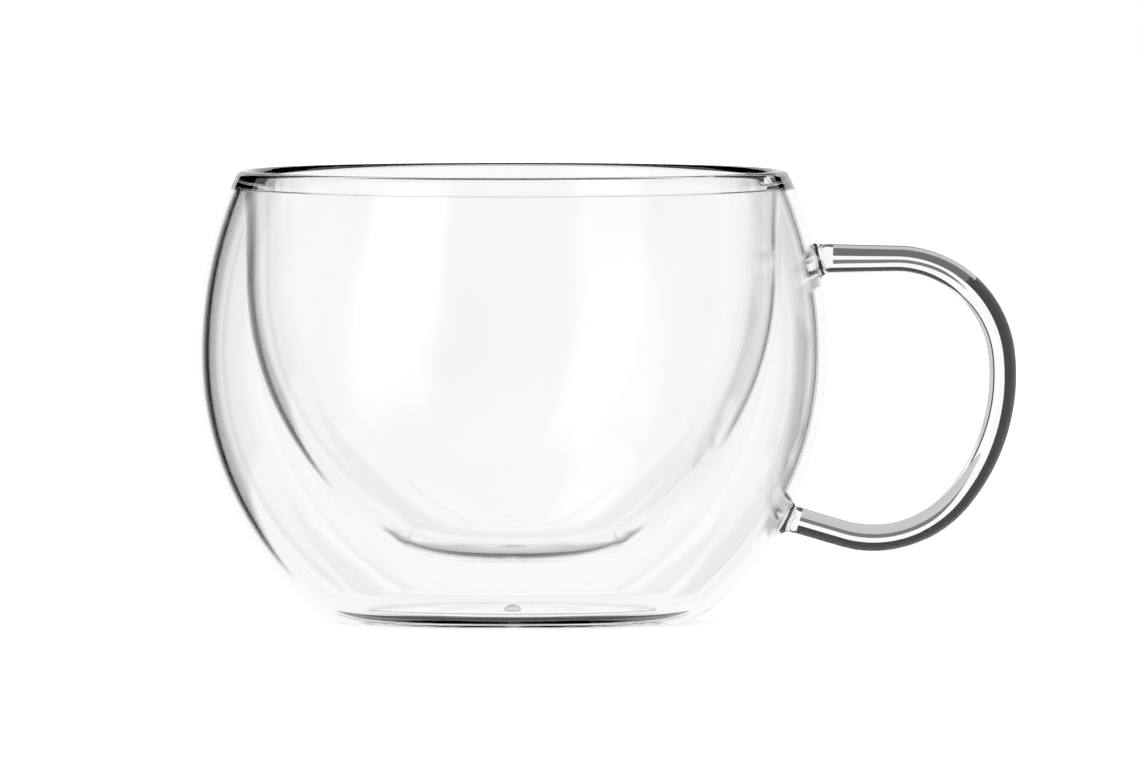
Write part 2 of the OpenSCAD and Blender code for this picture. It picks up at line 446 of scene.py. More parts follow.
def path_object(name, rows):
    """A path of points for the ring tree.

    Each row holds its ring's centre, direction and radius, the share of waviness there, and 1
    where the step to the next row is a heat joined face, otherwise 0.
    """
    mesh = bpy.data.meshes.new(name)
    steps = [(i, i + 1) for i in range(len(rows) - 1)]
    mesh.from_pydata([row[0] for row in rows], steps, [])
    for column, (key, kind) in enumerate(RING_FIELDS, start=1):
        field = "value" if kind == "FLOAT" else "vector"
        layer = mesh.attributes.new(key, kind, "POINT")
        for item, row in zip(layer.data, rows):
            setattr(item, field, row[column])
    return link(bpy.data.objects.new(name, mesh))


def ring_piece(name, rows, slot, wave, wave_size, seed, around):
    """Runs the ring tree on a path and keeps the result as a plain closed mesh."""
    obj = path_object(name, rows)
    modifier = obj.modifiers.new("Rings", "NODES")
    modifier.node_group = ring_tree()
    values = {
        "Steps around": around,
        "Waviness": wave,
        "Wave size": wave_size,
        "Seed": float(seed),
        "Glass": glass(slot),
        "Joined face": joined_face(),
    }
    for item in modifier.node_group.interface.items_tree:
        if item.item_type == "SOCKET" and item.in_out == "INPUT" and item.name in values:
            modifier[item.identifier] = values[item.name]
    obj.update_tag()
    graph = bpy.context.evaluated_depsgraph_get()
    mesh = bpy.data.meshes.new_from_object(
        obj.evaluated_get(graph), preserve_all_data_layers=False, depsgraph=graph
    )
    if len(mesh.polygons) < around:
        raise RuntimeError(f"{name} came out empty")
    obj.modifiers.remove(modifier)
    old = obj.data
    obj.data = mesh
    bpy.data.meshes.remove(old)
    mesh.name = name
    while mesh.materials and mesh.materials[0] is None:
        mesh.materials.pop(index=0)
    finish_mesh(mesh)
    return obj


def finish_mesh(mesh):
    """Turns all faces outwards, keeps real corners crisp and makes sure the mesh is closed."""
    bm = bmesh.new()
    bm.from_mesh(mesh)
    bmesh.ops.remove_doubles(bm, verts=bm.verts, dist=DOUBLES_DISTANCE)
    bmesh.ops.recalc_face_normals(bm, faces=bm.faces)
    for face in bm.faces:
        face.smooth = True
    for edge in bm.edges:
        edge.smooth = not (edge.is_manifold and edge.calc_face_angle() > CREASE)
    open_edges = sum(1 for edge in bm.edges if not edge.is_manifold)
    bm.to_mesh(mesh)
    bm.free()
    if open_edges:
        raise RuntimeError(f"{mesh.name} has {open_edges} open edges")


# The radius inside which a turned piece's waviness fades out
AXIS_CALM = 4 * MM


def turned_rows(points, joined, calm=1.5 * MM):
    """Rows for a piece turned round the upright axis.

    joined lists the steps that are heat joined faces. The waviness grows from nothing beside
    them to its full depth at three times calm, and from nothing on the axis.
    """
    still = [points[(i + k) % len(points)] for i in joined for k in (0, 1)]
    rows = []
    for i, (x, z) in enumerate(points):
        near = min(math.hypot(x - a, z - b) for a, b in still)
        ease = min(1.0, near / (3 * calm), x / AXIS_CALM) ** 2
        mark = 1.0 if i in joined else 0.0
        rows.append(((0.0, 0.0, z), (1.0, 0.0, 0.0), max(x, 0.0), ease, mark))
    return rows


def skin(name, bm, rings, joined, slot):
    """Closes rings of points into a piece. joined lists the steps that are heat joined faces."""
    for i in range(len(rings) - 1):
        near, far = rings[i], rings[i + 1]
        for j in range(len(near)):
            k = (j + 1) % len(near)
            corners = list(dict.fromkeys((near[j], near[k], far[k], far[j])))
            if len(corners) > 2:
                bm.faces.new(corners).material_index = 1 if i in joined else 0
    mesh = bpy.data.meshes.new(name)
    bm.to_mesh(mesh)
    bm.free()
    mesh.materials.append(glass(slot))
    mesh.materials.append(joined_face())
    finish_mesh(mesh)
    return link(bpy.data.objects.new(name, mesh))


def keep(obj, node):
    """Hands a finished piece to the frame in place of its node."""
    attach(obj, "root")
    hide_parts(node)


# Materials

GLASS_IOR = 1.47
SWELL_DETAIL = 1.0
GRAIN_DETAIL = 2.0

# The swell's values at which the tint is full and at which it has gone
TINT_FULL = 0.3
TINT_NONE = 0.7

# By slot: the glass's name, its swell's length and depth and its grain's length and depth, in mm
GLASSES = {
    "wall_glass": ("Blown wall glass", 22, 0.01, 3, 0.0002),
    "fused_glass": ("Flame joined glass", 9, 0.02, 1.5, 0.0005),
    "rod_glass": ("Drawn rod glass", 12, 0.01, 2, 0.0002),
    "weld_glass": ("Rippled weld glass", 1.6, 0.25, 0.5, 0.03),
}


def new_material(name):
    """A material with an empty node tree."""
    mat = bpy.data.materials.new(name)
    mat.use_nodes = True
    mat.node_tree.nodes.clear()
    return mat


def joined_face():
    """The inside faces where heat has joined two pieces: nothing is seen of them."""
    name = "Heat joined face"
    mat = bpy.data.materials.get(name)
    if mat:
        return mat
    mat = new_material(name)
    clear = add(mat.node_tree, "ShaderNodeBsdfTransparent")
    add(mat.node_tree, "ShaderNodeOutputMaterial", {"Surface": clear.outputs[0]})
    return mat


def glass(slot):
    """Clear glass with a long swell from blowing and a fine grain from the flame."""
    name, swell, swell_depth, grain, grain_depth = GLASSES[slot]
    mat = bpy.data.materials.get(name)
    if mat:
        return mat
    mat = new_material(name)
    tree = mat.node_tree
    place = add(tree, "ShaderNodeTexCoord").outputs["Object"]

    def wave(size, detail):
        inputs = {"Vector": place, "Scale": 1.0 / (size * MM), "Detail": detail}
        return add(tree, "ShaderNodeTexNoise", inputs).outputs[0]

    def bump(height, depth, normal=None):
        inputs = {"Strength": 1.0, "Distance": depth * MM, "Height": height, "Normal": normal}
        return add(tree, "ShaderNodeBump", inputs).outputs[0]

    long_wave = wave(swell, SWELL_DETAIL)
    fine_wave = wave(grain, GRAIN_DETAIL)
    surface = bump(fine_wave, grain_depth, bump(long_wave, swell_depth))
    ramp = add(tree, "ShaderNodeValToRGB", {0: long_wave})
    tinted, clear = ramp.color_ramp.elements
    tinted.color = (*getattr(bpy.context.scene.cup_colours, slot), 1.0)
    clear.color = WHITE
    tinted.position = TINT_FULL
    clear.position = TINT_NONE
    body = add(
        tree,
        "ShaderNodeBsdfPrincipled",
        {
            "Base Color": ramp.outputs[0],
            "Roughness": 0.0,
            "IOR": GLASS_IOR,
            "Transmission Weight": 1.0,
            "Normal": surface,
        },
    )
    add(tree, "ShaderNodeOutputMaterial", {"Surface": body.outputs[0]})
    return mat


# Pieces

FOOT_FIRST_STEP = 0.4 * MM
PIP_SPREAD = 1.6
PLATE_EDGE_R = 0.35 * MM
VENT_INNER_RING = 0.6
BEAD_PULL = 0.06
BEAD_SEED = 9.0
ROD_CALM_STEPS = 8


def vessel_piece(s, shape):
    """The outer vessel. Its surface is a heat joined face where the handle's welds meet it."""
    foot_start = (s.plate_r + FOOT_FIRST_STEP, 0.0)
    foot = line(foot_start, (shape.corner_x, 0.0), FOOT_STEPS)[:-1]
    outer = [(s.plate_r, 0.0)] + foot + shape.vessel(0.0)
    inner = shape.vessel(s.shell_wall)[::-1]
    hole = [(s.plate_r, s.shell_wall), (s.plate_r, s.plate_low), (s.plate_r, 0.0)]
    points = outer + inner + hole
    rim_step = len(outer) - 1
    plate_step = len(points) - 3
    rows = turned_rows(points, (rim_step, plate_step))
    obj = ring_piece(
        "outer_vessel", rows, "wall_glass",
        wave=s.wave, wave_size=30 * MM, seed=3, around=s.around,
    )
    names = [mat.name if mat else "" for mat in obj.data.materials]
    joined = names.index(joined_face().name)
    handle = Handle(s, shape)
    for poly in obj.data.polygons:
        centre = Vector(poly.center)
        depth = abs(math.hypot(centre.x, centre.y) - shape.radius_at(centre.z))
        on_outside = depth < 0.3 * s.shell_wall
        if on_outside and centre.x > 0:
            for start, way in handle.feet():
                offset = centre - start
                if (offset - way * offset.dot(way)).length < Handle.JOINED_R:
                    poly.material_index = joined
    keep(obj, "outer_shell")


def bowl_piece(s, shape):
    """The inner bowl, with a small pip under its floor where its tube was closed."""
    outer = []
    for x, z in shape.bowl(s.bowl_wall):
        share = min(1.0, x / (PIP_SPREAD * s.pip_r))
        outer.append((x, z - s.pip_depth * 0.5 * (1 + math.cos(math.pi * share))))
    inner = shape.bowl(0.0)[::-1]
    rim_step = len(outer) - 1
    rows = turned_rows(outer + inner, (rim_step,))
    obj = ring_piece(
        "inner_bowl_glass", rows, "wall_glass",
        wave=1.5 * s.wave, wave_size=26 * MM, seed=8, around=s.around,
    )
    keep(obj, "inner_bowl")


def rim_piece(s, shape):
    """The full-round lip over the notch in which the air gap closes."""
    shoulder = (shape.shoulder_x, s.belly_z)
    rim_turn = math.asin((shape.rim_z - s.belly_z) / shape.shoulder_r)
    side = arc(shoulder, shape.shoulder_r, rim_turn, shape.lip_turn, RIM_SIDE_STEPS)
    lip_centre = (shape.lip_x, shape.lip_z)
    lip = arc(lip_centre, shape.lip_r, shape.lip_turn, math.pi, LIP_STEPS)[1:]
    wall_foot = (shape.bowl_in_r, shape.rim_z)
    wall = line((shape.bowl_in_r, shape.lip_z), wall_foot, RIM_WALL_STEPS)[1:]
    notch_centre = (shape.bowl_out_r + s.notch_w / 2, shape.rim_z)
    notch = arc(notch_centre, s.notch_w / 2, math.pi, 0.0, NOTCH_STEPS)
    points = side + lip + wall + notch + [side[0]]
    bowl_step = len(side) + len(lip) + len(wall) - 1
    shell_step = len(points) - 2
    rows = turned_rows(points, (bowl_step, shell_step), calm=0.5 * MM)
    obj = ring_piece(
        "fused_rim", rows, "fused_glass",
        wave=0.6 * s.wave, wave_size=14 * MM, seed=5, around=s.around,
    )
    keep(obj, "rim_weld")


def plate_piece(s):
    """The plate that closes the base, with a rounded upper edge and the vent's hole."""
    r, low, top = s.plate_r, s.plate_low, s.plate_top
    edge_centre = (r - PLATE_EDGE_R, top - PLATE_EDGE_R)
    under = line((s.vent_r, low), (r, low), PLATE_STEPS)
    edge = [(r, s.shell_wall)]
    edge += arc(edge_centre, PLATE_EDGE_R, 0.0, math.pi / 2, PLATE_EDGE_STEPS)
    above = line((r - PLATE_EDGE_R, top), (s.vent_r, top), PLATE_STEPS)[1:]
    points = under + edge + above + [(s.vent_r, low)]
    edge_step = len(under) - 1
    vent_step = len(points) - 2
    rows = turned_rows(points, (edge_step, vent_step), calm=1 * MM)
    obj = ring_piece(
        "base_plate", rows, "fused_glass",
        wave=s.wave, wave_size=12 * MM, seed=11, around=s.around // 2,
    )
    keep(obj, "base_disc")


def vent_piece(s):
    """A plug in the vent with a drawn bead on top, a little out of round from the flame."""
    bead = s.vent_top - s.plate_top
    bead_r = arc_radius(s.vent_r, bead)
    points = [(share * s.vent_r, s.plate_low) for share in (0.0, VENT_INNER_RING, 1.0)]
    hole_step = len(points) - 1
    points.append((s.vent_r, s.plate_top))
    for i in range(1, BEAD_STEPS + 1):
        x = s.vent_r * math.cos(math.pi / 2 * i / BEAD_STEPS)
        points.append((x, s.vent_top - bead_r + math.sqrt(max(bead_r ** 2 - x ** 2, 0.0))))
    bm = bmesh.new()
    rings = []
    for x, z in points:
        if x < MERGE_DISTANCE:
            rings.append([bm.verts.new((0.0, 0.0, z))] * BEAD_AROUND)
            continue
        lift = max(0.0, (z - s.plate_top) / bead)
        ring = []
        for j in range(BEAD_AROUND):
            a = math.tau * j / BEAD_AROUND
            round_way = Vector((math.cos(a), math.sin(a), BEAD_SEED))
            pull = 1 - BEAD_PULL * lift * noise.noise(round_way)
            ring.append(bm.verts.new((x * pull * math.cos(a), x * pull * math.sin(a), z)))
        rings.append(ring)
    obj = skin("vent_bead", bm, rings, (hole_step,), "fused_glass")
    keep(obj, "vent_seal")


class Handle:
    """The rod's path in the upright plane through the axis, and its places on the vessel."""

    JOINED_R = 2.7 * MM

    def __init__(self, s, shape):
        self.s = s
        top_z = s.height - s.handle_drop
        self.start = (shape.radius_at(top_z), top_z)
        self.foot = (shape.radius_at(s.handle_foot_z), s.handle_foot_z)
        run_start = (self.start[0] + s.weld_len, top_z)
        run_end = (self.start[0] + s.handle_run, top_z)
        centre_1 = (run_end[0], top_z - s.bend_1_r)
        end_1 = math.pi / 2 - s.bend_1_turn
        centre_2 = on_circle(centre_1, s.bend_1_r - s.bend_2_r, end_1)
        end_2 = end_1 - s.bend_2_turn
        bend_end = on_circle(centre_2, s.bend_2_r, end_2)

        # The third bend has the one radius at which the tail runs straight to its foot
        gap = (bend_end[0] - self.foot[0], bend_end[1] - self.foot[1])
        reach = gap[0] * math.cos(end_2) + gap[1] * math.sin(end_2)
        bend_3_r = (gap[0] ** 2 + gap[1] ** 2 - s.tail_len ** 2) / (2 * reach)
        centre_3 = on_circle(bend_end, -bend_3_r, end_2)
        back = math.atan2(self.foot[1] - centre_3[1], self.foot[0] - centre_3[0])
        end_3 = back + math.atan2(s.tail_len, bend_3_r)
        tail_start = on_circle(centre_3, bend_3_r, end_3)
        self.tail_way = tuple((a - b) / s.tail_len for a, b in zip(tail_start, self.foot))
        tail_end = tuple(a + way * s.weld_len for a, way in zip(self.foot, self.tail_way))

        first, second, third = ROD_BEND_STEPS
        self.path = line(run_start, run_end, ROD_RUN_STEPS)
        self.path += arc(centre_1, s.bend_1_r, math.pi / 2, end_1, first)[1:]
        self.path += arc(centre_2, s.bend_2_r, end_1, end_2, second)[1:]
        self.path += arc(centre_3, bend_3_r, end_2, end_3, third)[1:]
        self.path += line(tail_start, tail_end, ROD_TAIL_STEPS)[1:]

    def feet(self):
        """Each weld's place on the vessel and its way out, the upper one first."""
        upper = Vector((self.start[0], 0, self.start[1])), Vector((1, 0, 0))
        lower_way = Vector((self.tail_way[0], 0, self.tail_way[1]))
        return upper, (Vector((self.foot[0], 0, self.foot[1])), lower_way)

    def radius(self, along):
        """Radius of the rod at a distance from the vessel: drawn down from its upper weld."""
        s = self.s
        share = min(1.0, max(0.0, along / s.handle_run))
        return s.rod_root_r + (s.rod_r - s.rod_root_r) * share


def rod_piece(s, shape):
    """The bent rod. Both its cut ends are heat joined faces."""
    handle = Handle(s, shape)
    path = handle.path
    rows = []
    along = s.weld_len
    for i, (x, z) in enumerate(path):
        before, after = path[max(i - 1, 0)], path[min(i + 1, len(path) - 1)]
        way = Vector((after[0] - before[0], 0, after[1] - before[1])).normalized()
        if i:
            along += math.hypot(x - path[i - 1][0], z - path[i - 1][1])
        ease = min(1.0, min(i, len(path) - 1 - i) / ROD_CALM_STEPS)
        rows.append(((x, 0.0, z), (way.z, 0.0, -way.x), handle.radius(along), ease, 0.0))
    first, last = rows[0], rows[-1]
    rows.insert(0, (first[0], first[1], 0.0, 0.0, 1.0))
    rows[-1] = last[:4] + (1.0,)
    rows.append((last[0], last[1], 0.0, 0.0, 0.0))
    obj = ring_piece(
        "bent_rod", rows, "rod_glass",
        wave=0.8 * s.wave, wave_size=11 * MM, seed=2, around=ROD_AROUND,
    )
    keep(obj, "handle_rod")


# How far a weld looks for the vessel, and how often it halves that
WELD_SEARCH = 12 * MM
WELD_SEARCH_STEPS = 40

# How fast a weld narrows to the rod, and how much slower on its heavier low side
WELD_FLARE = 3.2
WELD_FLARE_BELOW = 1.2

# The ripple's depth, its start as a share of the way out, and its bumps around and along
WELD_RIPPLE = 0.09 * MM
WELD_RIPPLE_START = 0.02
WELD_RIPPLE_AROUND = 3
WELD_RIPPLE_ALONG = 7


def weld_mesh(name, shape, foot, pad_r, neck_r, end, below, seed):
    """Glass spread on the vessel and drawn out to a rod's end.

    foot gives its place and its way out. below makes the fillet heavier on the low side.
    """
    start, way = foot
    side = Vector((0, 1, 0))
    up = side.cross(way).normalized()
    if up.z < 0:
        up = -up
    turns = [math.tau * j / WELD_AROUND for j in range(WELD_AROUND)]

    def outward(a):
        """The direction away from the rod's middle, for an angle from the upper side."""
        return up * math.cos(a) + side * math.sin(a)

    def on_vessel(point):
        """The point moved along the rod's way until it lies on the vessel."""
        low, high = -WELD_SEARCH, WELD_SEARCH
        for _ in range(WELD_SEARCH_STEPS):
            middle = (low + high) / 2
            tried = point + way * middle
            if math.hypot(tried.x, tried.y) < shape.radius_at(tried.z):
                low = middle
            else:
                high = middle
        return point + way * high

    def surround(share, a):
        """Radius round the rod at a share of the way out, for an angle from the upper side."""
        lower = 0.5 - 0.5 * math.cos(a)
        flare = (1 - share) ** (WELD_FLARE - WELD_FLARE_BELOW * below * lower)
        extra = (pad_r - neck_r) * (1 - below + 2 * below * lower)
        return neck_r + extra * flare

    bm = bmesh.new()
    rings = [[bm.verts.new(on_vessel(start))] * WELD_AROUND]
    for k in range(1, WELD_CAP_RINGS):
        reach = k / WELD_CAP_RINGS
        pad = [on_vessel(start + outward(a) * surround(0.0, a) * reach) for a in turns]
        rings.append([bm.verts.new(point) for point in pad])
    joined = set(range(len(rings)))
    for i in range(WELD_RINGS + 1):
        share = i / WELD_RINGS
        calm = math.sin(math.pi * min(1.0, share + WELD_RIPPLE_START))
        ring = []
        for a in turns:
            r = surround(share, a)
            x, y = WELD_RIPPLE_AROUND * math.cos(a), WELD_RIPPLE_AROUND * math.sin(a)
            sample = noise.noise(Vector((x, y, seed + WELD_RIPPLE_ALONG * share)))
            ripple = abs(WELD_RIPPLE * calm * sample)
            depth = (on_vessel(start + outward(a) * r) - start).dot(way)
            level = depth + (end - depth) * share
            ring.append(bm.verts.new(start + outward(a) * (r - ripple) + way * level))
        rings.append(ring)
    lid_start = len(rings) - 1
    for k in range(WELD_LID_RINGS - 1, 0, -1):
        reach = k / WELD_LID_RINGS
        lid = [start + way * end + outward(a) * neck_r * reach for a in turns]
        rings.append([bm.verts.new(point) for point in lid])
    rings.append([bm.verts.new(start + way * end)] * WELD_AROUND)
    joined.update(range(lid_start, len(rings)))
    return skin(name, bm, rings, joined, "weld_glass")


def weld_pieces(s, shape):
    """The glass that joins the rod's upper and lower ends to the vessel."""
    handle = Handle(s, shape)
    upper, lower = handle.feet()
    obj = weld_mesh(
        "upper_weld", shape, upper, pad_r=3.2 * MM, neck_r=handle.radius(s.weld_len),
        end=s.weld_len, below=0.9, seed=4.0,
    )
    keep(obj, "upper_handle_weld")
    obj = weld_mesh(
        "lower_weld", shape, lower, pad_r=3.7 * MM, neck_r=s.rod_r,
        end=s.weld_len, below=0.5, seed=21.0,
    )
    keep(obj, "lower_handle_weld")


# Floor, light and camera

# The room's level, and the zones that are laid over it in turn: in front of the cup or behind it,
# from where to where across and up, how soft the edges are across and up, and the zone's level.
# Angles are in degrees, to the camera's right and up.
ROOM_LEVEL = 0.9
ROOM_ZONES = (
    ("behind", (-70, 70), (-75, 75), 8, 2, 0.97),
    ("behind", (-62, -40), (-18, 30), 1, 1.5, 0.6),
    ("behind", (-40, -18.5), (-18, 30), 0.4, 1.5, 0.0),
    ("behind", (26.4, 33.5), (-18, 30), 0.4, 1.5, 0.0),
    ("behind", (33.5, 61), (-18, 30), 1, 1.5, 0.6),
    ("before", (-62, -30), (-15, 60), 5, 12, 2.0),
)

# Black cards behind the cup: how far behind, and from where to where across and up, in mm
FAR_CARDS = (
    ("Dark card above", 194, (-200, 50), (162, 280)),
    ("Dark card above the handle", 194, (50, 200), (146, 280)),
    ("Dark card below", 200, (-100, 100), (-370, -97)),
)

FLOOR_RADIUS = 4.0
FLOOR_SINK = 0.08 * MM
FLOOR_SHADE = (0.8, 0.8, 0.8, 1.0)
FLOOR_GLOW = 0.62

CAMERA_DISTANCE = 6.0
CAMERA_TILT = math.radians(1.95)
CAMERA_AIM = (10.2 * MM, 0.0, 42.12 * MM)
VIEW_WIDTH = 0.1996
SENSOR_WIDTH = 36.0

GLASS_BOUNCES = 48
CLEAR_BOUNCES = 64
GLOSS_BOUNCES = 24


def band(tree, value, span, soft):
    """1 where an angle lies in a span of degrees, with soft edges."""
    low, high, soft = math.radians(span[0]), math.radians(span[1]), math.radians(soft)

    def edge(a, b):
        inputs = {"Value": value, "From Min": a, "From Max": b}
        node = add(tree, "ShaderNodeMapRange", inputs, interpolation_type="SMOOTHSTEP")
        return node.outputs[0]

    rising, falling = edge(low - soft, low + soft), edge(high + soft, high - soft)
    return math_node(tree, "MULTIPLY", rising, falling)


def studio_world():
    """The room as the glass sees it. The camera sees plain white.

    The room is pale, and a little brighter behind the cup, where it has dark and grey zones on
    the left and on the right. In front it has one tall soft window on the left.
    """
    world = bpy.data.worlds.new("Studio")
    bpy.context.scene.world = world
    world.use_nodes = True
    tree = world.node_tree
    tree.nodes.clear()
    way = add(tree, "ShaderNodeTexCoord").outputs["Generated"]
    x, y, z = add(tree, "ShaderNodeSeparateXYZ", {0: way}).outputs
    across = {
        "behind": math_node(tree, "ARCTAN2", x, y),
        "before": math_node(tree, "ARCTAN2", x, math_node(tree, "MULTIPLY", y, -1.0)),
    }
    above = math_node(tree, "ARCSINE", z)

    def mix(factor, a, b):
        inputs = {"Factor": factor, "A": a, "B": b}
        return add(tree, "ShaderNodeMix", inputs, data_type="FLOAT").outputs[0]

    level = ROOM_LEVEL
    for side, wide, tall, soft_wide, soft_tall, zone_level in ROOM_ZONES:
        columns = band(tree, across[side], wide, soft_wide)
        rows = band(tree, above, tall, soft_tall)
        level = mix(math_node(tree, "MULTIPLY", columns, rows), level, zone_level)
    shown = add(tree, "ShaderNodeLightPath").outputs["Is Camera Ray"]
    light = {"Color": WHITE, "Strength": mix(shown, level, 1.0)}
    background = add(tree, "ShaderNodeBackground", light)
    add(tree, "ShaderNodeOutputWorld", {"Surface": background.outputs[0]})


def place_card(name, corners, faces, strength):
    """A flat card, which the glass sees and the camera doesn't.

    Like an area lamp it has one side, which faces the front.
    """
    mesh = bpy.data.meshes.new(name)
    mesh.from_pydata(corners, [], faces)
    mesh.update()
    for face in mesh.polygons:
        if face.normal.y > 0:
            face.flip()
    mat = new_material(name)
    tree = mat.node_tree
    behind = add(tree, "ShaderNodeNewGeometry").outputs["Backfacing"]
    glow = add(tree, "ShaderNodeEmission", {"Color": WHITE, "Strength": strength}).outputs[0]
    clear = add(tree, "ShaderNodeBsdfTransparent").outputs[0]
    side = add(tree, "ShaderNodeMixShader", {0: behind, 1: glow, 2: clear})
    add(tree, "ShaderNodeOutputMaterial", {"Surface": side.outputs[0]})
    mesh.materials.append(mat)
    obj = link(bpy.data.objects.new(name, mesh))
    obj.visible_camera = False
    obj.visible_diffuse = False
    obj.visible_shadow = False


def far_card(name, y, wide, tall):
    """A black upright card across the view, with its sizes in mm."""
    (left, right), (low, high) = wide, tall
    corners = [(left, y, low), (right, y, low), (right, y, high), (left, y, high)]
    corners = [tuple(value * MM for value in corner) for corner in corners]
    place_card(name, corners, [(0, 1, 2, 3)], 0.0)


def rod_card(name, shape, path, start, end, strength, room, where, behind=5.8):
    """A card that follows the rod at a distance behind it, with its sizes in mm.

    start and end give its two edges, as distances towards the handle's middle. room keeps it
    clear of the vessel. where says on which part of the rod it stands, by the distance from the
    axis. All three functions read up: the upward part of the rod's outer side, which is 1 on the
    upper run and -1 under the lowest bend.
    """
    corners, faces, last = [], [], None
    for i in range(1, len(path) - 1, 2):
        along = (path[i + 1][0] - path[i - 1][0], path[i + 1][1] - path[i - 1][1])
        size = math.hypot(*along)
        out = (-along[1] / size, along[0] / size)
        up = out[1]
        insets = (start(up) * MM, end(up) * MM)
        pair = [(path[i][0] - out[0] * inset, path[i][1] - out[1] * inset) for inset in insets]
        clear = all(x > shape.radius_at(max(z, 0.0)) + room * MM for x, z in pair)
        if not (clear and where(pair[0][0] / MM, up)):
            last = None
            continue
        corners += [(x, behind * MM, z) for x, z in pair]
        if last is not None:
            faces.append((last, last + 1, len(corners) - 1, len(corners) - 2))
        last = len(corners) - 2
    place_card(name, corners, faces, strength)


def middle_edge(up):
    """The edge of the dark cards, just inside the rod's middle."""
    return 0.1 + (0.3 if up > 0 else 0.2) * up * up


def taper(start, change, share):
    """An edge that moves from start by change as the share grows to 1."""
    return start + change * min(1.0, share)


def cards(s, shape):
    """The studio's dark and grey cards: the glass shows each as a line or a soft grey."""
    for card in FAR_CARDS:
        far_card(*card)
    rod = (shape, Handle(s, shape).path)
    rod_card(
        "Dark card in the handle", *rod, middle_edge, lambda up: 14,
        strength=0.0, room=13, where=lambda x, up: x > 77 or up < 0, behind=6,
    )
    rod_card(
        "Dark strip over the lower run", *rod, middle_edge, lambda up: 6,
        strength=0.0, room=3.4, where=lambda x, up: x > 60 and up < -0.3,
    )
    rod_card(
        "Dark strip at the lower weld", *rod, middle_edge, lambda up: 2.5,
        strength=0.0, room=1.5, where=lambda x, up: x < 61 and up < -0.3,
    )
    rod_card(
        "Strip under the upper run", *rod, middle_edge, lambda up: 1.75,
        strength=0.1, room=1.0, where=lambda x, up: x < 79 and up > 0,
    )
    rod_card(
        "Grey card under the upper run", *rod,
        lambda up: 1.75, lambda up: taper(4.5, 4.5, (1.0 - up) / 0.15),
        strength=0.5, room=1.0, where=lambda x, up: x < 79 and up > 0,
    )
    rod_card(
        "Line behind the upper run", *rod,
        lambda up: -0.25, lambda up: taper(-0.25, 0.35, (up - 0.7) / 0.2),
        strength=0.15, room=1.0, where=lambda x, up: up > 0.7,
    )
    rod_card(
        "Line under the lower run", *rod,
        lambda up: -0.6, lambda up: taper(-0.6, 0.4, (-up - 0.5) / 0.35),
        strength=0.15, room=1.5, where=lambda x, up: up < -0.5,
    )
    rod_card(
        "Grey card under the lower run", *rod,
        lambda up: taper(-0.6, -5.4, (-up - 0.4) / 0.4), lambda up: -0.6,
        strength=0.55, room=1.5, where=lambda x, up: up < -0.4,
    )


def floor_piece():
    """A plain pale floor that keeps the cup's soft shadow. The glass looks past it."""
    bm = bmesh.new()
    bmesh.ops.create_circle(bm, cap_ends=True, segments=128, radius=FLOOR_RADIUS)
    for vert in bm.verts:
        vert.co.z = -FLOOR_SINK
    mesh = bpy.data.meshes.new("Floor")
    bm.to_mesh(mesh)
    bm.free()
    mat = new_material("Floor white")
    tree = mat.node_tree
    shade = add(tree, "ShaderNodeBsdfDiffuse", {"Color": FLOOR_SHADE}).outputs[0]
    glow = add(tree, "ShaderNodeEmission", {"Color": WHITE, "Strength": FLOOR_GLOW}).outputs[0]
    both = add(tree, "ShaderNodeAddShader", {0: shade, 1: glow}).outputs[0]
    clear = add(tree, "ShaderNodeBsdfTransparent").outputs[0]
    shown = add(tree, "ShaderNodeLightPath").outputs["Is Camera Ray"]
    seen = add(tree, "ShaderNodeMixShader", {0: shown, 1: clear, 2: both})
    add(tree, "ShaderNodeOutputMaterial", {"Surface": seen.outputs[0]})
    mesh.materials.append(mat)
    link(bpy.data.objects.new("Floor", mesh))


def lamp(name, place, aim, size, power):
    """A square soft box that lights the floor and isn't seen in the glass."""
    data = bpy.data.lights.new(name, "AREA")
    data.shape = "RECTANGLE"
    data.size = size
    data.size_y = size
    data.energy = power
    obj = link(bpy.data.objects.new(name, data))
    obj.location = place
    obj.rotation_euler = (Vector(aim) - Vector(place)).to_track_quat("-Z", "Y").to_euler()
    obj.visible_glossy = False
    obj.visible_transmission = False


def camera_piece():
    """The camera at the photo's angle, with a lens that spans the view's width at the cup."""
    way = Vector((0.0, math.cos(CAMERA_TILT), -math.sin(CAMERA_TILT)))
    data = bpy.data.cameras.new("Camera")
    data.sensor_width = SENSOR_WIDTH
    data.lens = SENSOR_WIDTH * CAMERA_DISTANCE / VIEW_WIDTH
    data.clip_end = 100.0
    obj = link(bpy.data.objects.new("Camera", data))
    obj.location = Vector(CAMERA_AIM) - way * CAMERA_DISTANCE
    obj.rotation_euler = way.to_track_quat("-Z", "Y").to_euler()
    bpy.context.scene.camera = obj


def build_stage(s, shape):
    """The floor, the room, the cards, the lamp and the camera."""
    scene = bpy.context.scene
    scene.view_settings.view_transform = "Standard"
    scene.cycles.max_bounces = GLASS_BOUNCES
    scene.cycles.transmission_bounces = GLASS_BOUNCES
    scene.cycles.transparent_max_bounces = CLEAR_BOUNCES
    scene.cycles.glossy_bounces = GLOSS_BOUNCES
    studio_world()
    floor_piece()
    cards(s, shape)
    lamp("Soft box above", place=(0.0, -0.6, 2.2), aim=(0.0, 0.0, 0.04), size=1.6, power=12)
    camera_piece()


# The add-on


class CUP_OT_outer_vessel(bpy.types.Operator):
    """Turns the outer vessel"""

    bl_idname = "cup.outer_vessel"
    bl_label = "Outer vessel"

    def execute(self, context):
        s = context.scene.cup_sizes
        vessel_piece(s, Shape(s))
        return {"FINISHED"}


